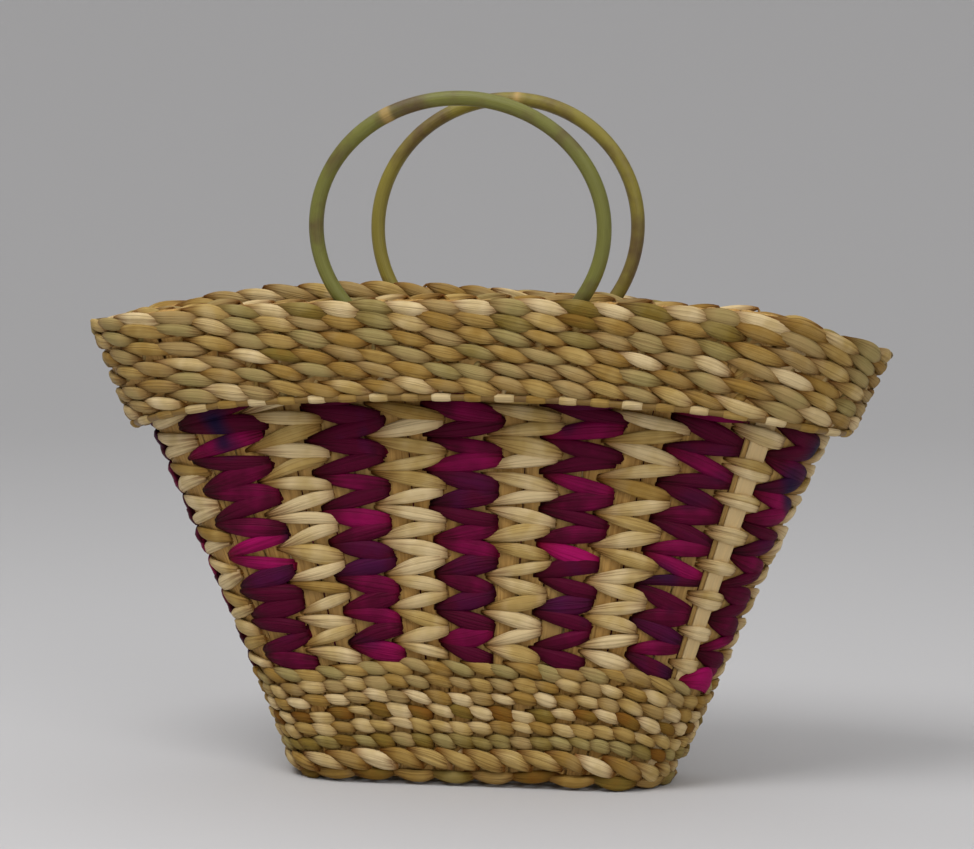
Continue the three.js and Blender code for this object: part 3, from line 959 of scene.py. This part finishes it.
class BASKET_OT_cuff(bpy.types.Operator):
    """Weaves the cuff's courses and the two rows of the rim"""

    bl_idname = "basket.cuff"
    bl_label = "Cuff and rim"

    def cuff_course(self, sizes, length, tones, seed, fall=0.0):
        """Course of the cuff at a length, which falls towards the left end."""
        return plain_course(
            sizes,
            length=length,
            width=sizes.cuff_width,
            rise=0.003,
            reach=0.34,
            tips=((0.0012, 0.002), (0.0012, 0.002)),
            outer=0.0022,
            inner=0.0004,
            thin=0.25,
            tones=tones,
            seed=seed,
            base=on_cuff,
            belly=0.85,
            skew=1.3,
            shades=0.1,
            fall=fall,
        )

    def execute(self, context):
        sizes, colours = settings(context)
        reed = natural_reed(colours)
        for index in range(CUFF_COURSES):
            length = STAKE_LENGTH - (index + 0.5) * CUFF_ROW
            fall = CUFF_FALL * (index + 0.5) / CUFF_COURSES
            course = self.cuff_course(sizes, length, CUFF_TONES[index], SEEDS["cuff"] + index, fall)
            add_course("cuff", index, course, reed)
        top = self.cuff_course(sizes, STAKE_LENGTH + TOP_RISE, TOP_TONES, SEEDS["top"])
        top.rise = 0.0022
        top.inside = 0.35
        lip = self.cuff_course(sizes, STAKE_LENGTH + LIP_RISE, LIP_TONES, SEEDS["lip"])
        lip.base = on_lip
        lip.reach = -lip.reach
        lip.outer, lip.inner = lip.inner, lip.outer
        lip.outside = 0.35
        lip.inside = 1.0
        lip.thin = 0.6
        add_piece("rim_strands", both_strands(top, lip), reed, ["rim_fold"])
        return {"FINISHED"}


class BASKET_OT_foot(bpy.types.Operator):
    """Twists the thick strands of the foot"""

    bl_idname = "basket.foot"
    bl_label = "Foot"

    def execute(self, context):
        sizes, colours = settings(context)
        rope = Course(
            edges=even_edges(ROPE_COLUMNS),
            length=0.0102,
            width=sizes.foot_width,
            thickness=0.0052,
            rise=0.0036,
            reach=0.4,
            tips=((0.003, 0.005), (0.003, 0.005)),
            outer=0.002,
            inner=0.0012,
            inside=0.5,
            tones=ROPE_TONES,
            seed=SEEDS["rope"],
            base=on_foot,
            arch=1.0,
            shades=0.1,
        )
        edge = Course(
            edges=even_edges(EDGE_COLUMNS),
            length=0.0046,
            width=0.0066,
            thickness=0.0046,
            rise=0.0,
            reach=0.4,
            tips=((0.002, 0.002), (0.002, 0.002)),
            droop=0.0016,
            arch=0.5,
            outer=0.0014,
            inner=0.0006,
            inside=0.6,
            tones=EDGE_TONES,
            seed=SEEDS["edge"],
        )
        tubes = both_strands(rope, edge)
        add_piece("foot_strands", tubes, natural_reed(colours), ["foot_braid"])
        return {"FINISHED"}


def strip_section(width):
    """Section of a strip, as distances across it and out of it: a flattened oval with three ridges."""
    turn = angles(STRIP_SIDES, 0.5)
    across = signed_power(np.cos(turn), STRIP_POWERS[0])
    out = signed_power(np.sin(turn), STRIP_POWERS[1])
    out = out * (1 - STRIP_RIDGE + STRIP_RIDGE * np.cos(STRIP_RIDGES * math.pi * across))
    return across[None, :] * width[:, None] / 2, out * STAKE_THICKNESS / 2


def upright(place, foot, ladder=False):
    """Middle line of a stake from the cuff's edge over the fold and down the wall, as points and widths.

    The fold is half an ellipse between the cuff and the wall. Where a ring's leg passes, it steps aside. On
    the fold and the cuff the strip is at least as wide as the pitch there. The upper strip of a ladder line
    is narrower, and stands out a little in the zigzag band.
    """
    spot = np.array(float(place))
    low = CUFF_END - CUFF_FALL * float(end_share(spot, -1))
    hang = np.linspace(low, STAKE_LENGTH, HANG_STEPS)
    turn = np.linspace(math.pi, 0, FOLD_STEPS)[1:-1]
    climb = np.linspace(STAKE_LENGTH, foot, CLIMB_STEPS)
    out = float(on_cuff(spot))
    length = np.concatenate([hang, STAKE_LENGTH + FOLD_RISE * np.sin(turn), climb])
    offset = np.concatenate([np.full(HANG_STEPS, out), out * (1 - np.cos(turn)) / 2, np.zeros(CLIMB_STEPS)])
    count, right, back = fold_place(spot)
    close = np.exp(-(((count - LEG_PLACE) / LEG_ROOM) ** 2))
    near = smoothstep(length, STAKE_LENGTH - FOLD_NEAR, STAKE_LENGTH)
    where = place - LEG_STEP * close * right * back * near
    if ladder:
        band = smoothstep(length, CHEVRON_START - CHEVRON_ROW, CHEVRON_START)
        band = band * (1 - smoothstep(length, UPPER_START + CHEVRON_ROW, STAKE_LENGTH - CUFF_ROW))
        offset = offset + LADDER_SKIN + LADDER_OUT * band * (offset == 0)
    point = wall(where, length, offset)
    across = wall(where + 0.5, length, offset) - wall(where - 0.5, length, offset)
    pitch = np.linalg.norm(across, axis=-1)
    width = STAKE_WIDTH + (STAKE_RIM_WIDTH - STAKE_WIDTH) * length / STAKE_LENGTH
    if ladder:
        width = width * LADDER_SPREAD
    else:
        width = np.maximum(width * STRIP_SPREAD, pitch * (offset > 0))
    width = width * (1 - near * (FOLD_SLIM + LEG_SLIM * close))
    return point, across / pitch[:, None], width


def side_path(place, sign, height, mat_across, target=None):
    """Upright of a stake and its bend into the mat, a quadratic curve round the knuckle at its foot.

    The bend leads towards the target, or else straight across the base.
    """
    point, across, width = upright(place, height + BEND)
    across = across * sign
    knuckle = wall(np.array(float(place)), np.array(height), np.array(0.0))
    knuckle[2] = height
    if target is None:
        target = np.array([knuckle[0], 0, height])
    inward = target - knuckle
    mat = knuckle + inward / np.linalg.norm(inward) * BEND
    share = np.linspace(0, 1, BEND_STEPS)[1:, None]
    bend = (1 - share) ** 2 * point[-1] + 2 * share * (1 - share) * knuckle + share**2 * mat
    turned = unit(across[-1] + (mat_across - across[-1]) * share)
    narrow = width[-1] + (STAKE_WIDTH - width[-1]) * share[:, 0]
    return np.concatenate([point, bend]), np.concatenate([across, turned]), np.concatenate([width, narrow])


def strip_tube(point, across, width, tone, pale=0.0):
    """Ribbed strip along a path, with its thickness square to the path and to its across direction."""
    tangent = np.gradient(point, axis=0)
    out = unit(np.cross(tangent, across))
    side, rise = strip_section(width)
    points = point[:, None] + across[:, None] * side[..., None] + out[:, None] * rise[None, :, None]
    step = np.linalg.norm(np.diff(point, axis=0), axis=-1)
    along = np.concatenate([[0], np.cumsum(step)])
    plain = np.zeros(len(point))
    return Tube(points, False, plain + tone, plain + pale, plain, along)


def plaited(start, end, steps, pitch, sign, level):
    """Run of the mat between two points: a cosine wave over and under the strips that it crosses.

    The wave is counted from the run's middle, which is halfway between two strips, and eases in at both ends.
    """
    share = np.linspace(0, 1, steps)[1:-1, None]
    run = start + (end - start) * share
    along = np.linalg.norm(run - (start + end) / 2, axis=-1) * np.sign(share[:, 0] - 0.5)
    middle = (MAT_LOW + MAT_HIGH) / 2
    wave = middle + sign * (MAT_HIGH - MAT_LOW) / 2 * np.cos(math.pi * (along / pitch + 0.5))
    ease = smoothstep(np.minimum(share[:, 0], 1 - share[:, 0]), 0, MAT_EASE)
    run[:, 2] = level + (wave - level) * ease
    return run


def whole_stake(first, last, mat, across, tone):
    """Strip that comes down one side, crosses the mat and goes up the other side."""
    point = np.concatenate([first[0], mat, last[0][::-1]])
    direction = np.concatenate([first[1], np.tile(across, (len(mat), 1)), last[1][::-1]])
    width = np.concatenate([first[2], np.full(len(mat), STAKE_WIDTH), last[2][::-1]])
    return strip_tube(point, direction, width, tone)


class BASKET_OT_stakes(bpy.types.Operator):
    """Lays the upright strips, which cross in the mat and fold over the rim into the cuff"""

    bl_idname = "basket.stakes"
    bl_label = "Stakes"

    def execute(self, context):
        _, colours = settings(context)
        strips = shared_material(strip_material, "stake strip", colours)
        rng = np.random.default_rng(SEEDS["stakes"])
        along_x = np.array([1.0, 0, 0])
        along_y = np.array([0, 1.0, 0])
        for index in range(CROSS_STAKES):
            place = index - (CROSS_STAKES - 1) / 2
            front = side_path(place, 1, MAT_LOW, along_x)
            back = side_path(BACK_PLACE - place, -1, MAT_LOW, along_x)
            mat = plaited(front[0][-1], back[0][-1], CROSS_STEPS, LONG_PITCH, (-1) ** index, MAT_LOW)
            tube = whole_stake(front, back, mat, along_x, rng.uniform(0, 1))
            name = numbered("cross_stake_strip", index)
            add_piece(name, [tube], strips, [numbered("cross_stake", index)])
        for index in range(LONG_STAKES):
            step = index - (LONG_STAKES - 1) / 2
            place = QUARTER + step
            ends = [np.array([side * BASE_STRAIGHT, step * LONG_PITCH, MAT_HIGH]) for side in (1, -1)]
            right = side_path(place, 1, MAT_HIGH, along_y, ends[0])
            left = side_path(AROUND - place, -1, MAT_HIGH, along_y, ends[1])
            mat = plaited(*ends, LONG_STEPS, BASE_PITCH, (-1) ** index, MAT_HIGH)
            tube = whole_stake(right, left, mat, along_y, rng.uniform(0, 1))
            name = numbered("long_stake_strip", index)
            add_piece(name, [tube], strips, [numbered("long_stake", index)])
        corners = {
            "front_right": CORNER_PLACE,
            "back_right": BACK_PLACE - CORNER_PLACE,
            "back_left": BACK_PLACE + CORNER_PLACE,
            "front_left": AROUND - CORNER_PLACE,
        }
        for name, place in corners.items():
            foot = MAT_HIGH + STAKE_THICKNESS
            tubes = [strip_tube(*upright(place, foot), rng.uniform(0, 1))]
            if place in (sum(RIGHT_LADDER) / 2, sum(LEFT_LADDER) / 2):
                tubes.append(strip_tube(*upright(place, foot, ladder=True), EVEN_TONE, LADDER_PALE))
            add_piece("corner_strip_" + name, tubes, strips, ["corner_stake_" + name])
        return {"FINISHED"}


def hoop_tube(first, last, steps, radius, tone, taper=0.0, closed=False):
    """Round tube along the cuff's lower edge between two places, thinner by the taper towards its ends."""
    share = np.linspace(0, 1, steps, endpoint=not closed)
    place = first + (last - first) * share
    turn = angles(HOOP_SIDES)
    swell = radius * (1 - taper + taper * np.sin(math.pi * share) ** WRAP_POWER)
    points = wall(
        place[:, None],
        (CUFF_END - HOOP_DROP - CUFF_FALL * end_share(place, -1))[:, None] + swell[:, None] * np.sin(turn),
        on_cuff(place)[:, None] + HOOP_OUT + swell[:, None] * np.cos(turn),
    )
    plain = np.zeros(steps)
    return Tube(points, closed, plain + tone, plain, plain, place * RIM_PITCH)


class BASKET_OT_hoop(bpy.types.Operator):
    """Bends the hoop below the cuff and wraps it with the ends of the stakes"""

    bl_idname = "basket.hoop"
    bl_label = "Hoop"

    def execute(self, context):
        sizes, colours = settings(context)
        rng = np.random.default_rng(SEEDS["wraps"])
        cane = shared_material(cane_material, "hoop cane", colours, colours.hoop, HOOP_MOTTLE)
        hoop = hoop_tube(0, AROUND, HOOP_STEPS, sizes.hoop / 2, EVEN_TONE, closed=True)
        add_piece("hoop_cane", [hoop], cane, ["cuff_hoop"])
        wraps = []
        radius = sizes.hoop * WRAP_RADIUS
        for index in range(int(AROUND)):
            place = index + 0.5
            half = rng.uniform(*WRAP_HALF)
            tone = WRAP_TONES[index % 2] + rng.normal(0, WRAP_SHADES)
            wraps.append(hoop_tube(place - half, place + half, WRAP_STEPS, radius, tone, WRAP_TAPER))
        add_piece("hoop_wraps", wraps, natural_reed(colours), [])
        return {"FINISHED"}


def ring_tube(ring, joint, pivot, lean, cane, seed):
    """Oval cane ring: a round section carried along an ellipse that leans about the pivot, a little uneven.

    The cane swells at its joint, and has a brown stretch beside it.
    """
    half_width, half_height, buried = ring
    rng = np.random.default_rng(seed)
    turn = angles(RING_STEPS)
    roll = angles(RING_SIDES)
    normal = unit(np.stack([np.cos(turn) / half_width, np.sin(turn) / half_height], -1))
    share = 1 - 2 * RING_UNEVEN
    for count in RING_WAVES:
        share = share - RING_UNEVEN * np.cos(count * turn + rng.uniform(0, PHASES))
    knuckle = np.exp(-(((turn - joint[0]) / JOINT_SPREAD) ** 2))
    brown = np.exp(-(((turn - joint[1]) / BROWN_SPREAD) ** 2))
    radius = cane / 2 * share * (1 + JOINT_SWELL * knuckle)
    offset = radius[:, None] * np.cos(roll)
    centre = cane / 2 + half_height - buried / 2
    x = half_width * np.cos(turn)[:, None] + offset * normal[:, :1]
    up = centre + half_height * np.sin(turn)[:, None] + offset * normal[:, 1:]
    out = radius[:, None] * np.sin(roll)
    y = out * math.cos(lean) - up * math.sin(lean)
    z = out * math.sin(lean) + up * math.cos(lean)
    points = np.stack([x, y, z], -1) + np.array(pivot)
    return Tube(points, True, np.full(RING_STEPS, EVEN_TONE), brown, knuckle, turn * half_width)


class BASKET_OT_handles(bpy.types.Operator):
    """Bends the two cane rings that stand in the pocket behind the cuff"""

    bl_idname = "basket.handles"
    bl_label = "Handles"

    def execute(self, context):
        sizes, colours = settings(context)
        pivots = {joint["child"]: joint["pos_m"] for joint in frame["joints"]}
        rings = (
            ("front_handle", FRONT_RING, FRONT_JOINT, RIM_LEAN, colours.cane_green),
            ("back_handle", BACK_RING, BACK_JOINT, -RIM_LEAN, colours.cane_yellow),
        )
        for index, (body, ring, joint, lean, plain) in enumerate(rings):
            cane = shared_material(cane_material, body + " cane", colours, plain, RING_MOTTLE)
            tube = ring_tube(ring, joint, pivots[body], lean, sizes.cane, SEEDS["rings"] + index)
            add_piece(body + "_ring", [tube], cane, [body], body)
        return {"FINISHED"}


def bowl(flat, radius, rise, sides, steps):
    """Round floor that curves up into a backdrop on all sides: rings whose profile is a line and an arc."""
    climb = np.linspace(0, rise, steps)
    reach = np.concatenate([[flat / 2], flat + radius * np.sin(climb)])
    height = np.concatenate([[0.0], radius - radius * np.cos(climb)])
    turn = angles(sides)
    x, y = reach[:, None] * np.cos(turn), reach[:, None] * np.sin(turn)
    points = np.stack([x, y, np.broadcast_to(height[:, None], x.shape)], -1).reshape(-1, 3)
    row, side = np.arange(steps)[:, None] * sides, np.arange(sides)[None, :]
    beside = (side + 1) % sides
    rings = np.stack([row + side, row + sides + side, row + sides + beside, row + beside], -1).reshape(-1, 4)
    return points.tolist(), [list(range(sides)), *rings.tolist()]


class BASKET_OT_stage(bpy.types.Operator):
    """Sets the pale floor, the soft lights and the camera"""

    bl_idname = "basket.stage"
    bl_label = "Stage"

    def add_light(self, name, location, target, size, power):
        """Square area light that faces a target."""
        light = bpy.data.lights.new(name, "AREA")
        light.size = size
        light.energy = power
        lamp = bpy.data.objects.new(name, light)
        lamp.location = location
        lamp.rotation_euler = (Vector(target) - Vector(location)).to_track_quat("-Z", "Y").to_euler()
        bpy.context.scene.collection.objects.link(lamp)

    def execute(self, context):
        scene = context.scene
        cloth, _, shader = new_material("pale cloth")
        shader.inputs["Base Color"].default_value = (*scene.basket_colours.cloth, 1)
        shader.inputs["Roughness"].default_value = 0.9
        points, faces = bowl(FLOOR_FLAT, FLOOR_RADIUS, FLOOR_RISE, FLOOR_SIDES, FLOOR_STEPS)
        mesh = bpy.data.meshes.new("floor")
        mesh.from_pydata(points, [], faces)
        mesh.shade_smooth()
        mesh.materials.append(cloth)
        floor = bpy.data.objects.new("floor", mesh)
        scene.collection.objects.link(floor)

        for light in LIGHTS:
            self.add_light(*light)
        scene.world = bpy.data.worlds.new("room")
        scene.world.use_nodes = True
        background = scene.world.node_tree.nodes["Background"]
        background.inputs["Color"].default_value = ROOM_COLOUR
        background.inputs["Strength"].default_value = ROOM_STRENGTH
        scene.view_settings.view_transform = "Standard"

        camera = bpy.data.cameras.new("camera")
        camera.lens = LENS
        camera.sensor_width = SENSOR_WIDTH
        camera.dof.use_dof = False
        eye = bpy.data.objects.new("camera", camera)
        aside = CAMERA_DISTANCE * math.sin(CAMERA_AZIMUTH)
        eye.location = (aside, -CAMERA_DISTANCE * math.cos(CAMERA_AZIMUTH), CAMERA_HEIGHT)
        eye.rotation_euler = (math.pi / 2 - CAMERA_PITCH, 0, CAMERA_AZIMUTH - CAMERA_TURN)
        scene.collection.objects.link(eye)
        scene.camera = eye
        return {"FINISHED"}


OPERATORS = (
    BASKET_OT_stakes,
    BASKET_OT_foot,
    BASKET_OT_lower_band,
    BASKET_OT_chevron_band,
    BASKET_OT_upper_wall,
    BASKET_OT_cuff,
    BASKET_OT_hoop,
    BASKET_OT_handles,
    BASKET_OT_stage,
)


class BASKET_PT_panel(bpy.types.Panel):
    """Lists the settings and the steps that make the basket"""

    bl_label = "Twined basket bag"
    bl_space_type = "VIEW_3D"
    bl_region_type = "UI"
    bl_category = "Basket"

    def draw(self, context):
        for group in settings(context):
            for key in group.__annotations__:
                self.layout.prop(group, key)
        for operator in OPERATORS:
            self.layout.operator(operator.bl_idname)


CLASSES = (BasketSizes, BasketColours, *OPERATORS, BASKET_PT_panel)


def register():
    """Registers the classes and gives the scene its settings."""
    for item in CLASSES:
        bpy.utils.register_class(item)
    bpy.types.Scene.basket_sizes = PointerProperty(type=BasketSizes)
    bpy.types.Scene.basket_colours = PointerProperty(type=BasketColours)


def unregister():
    """Takes the settings and the classes out again."""
    del bpy.types.Scene.basket_colours
    del bpy.types.Scene.basket_sizes
    for item in reversed(CLASSES):
        bpy.utils.unregister_class(item)


def main():
    """Registers the add-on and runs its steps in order."""
    register()
    for operator in OPERATORS:
        group, name = operator.bl_idname.split(".")
        getattr(getattr(bpy.ops, group), name)()


if __name__ == "__main__":
    main()
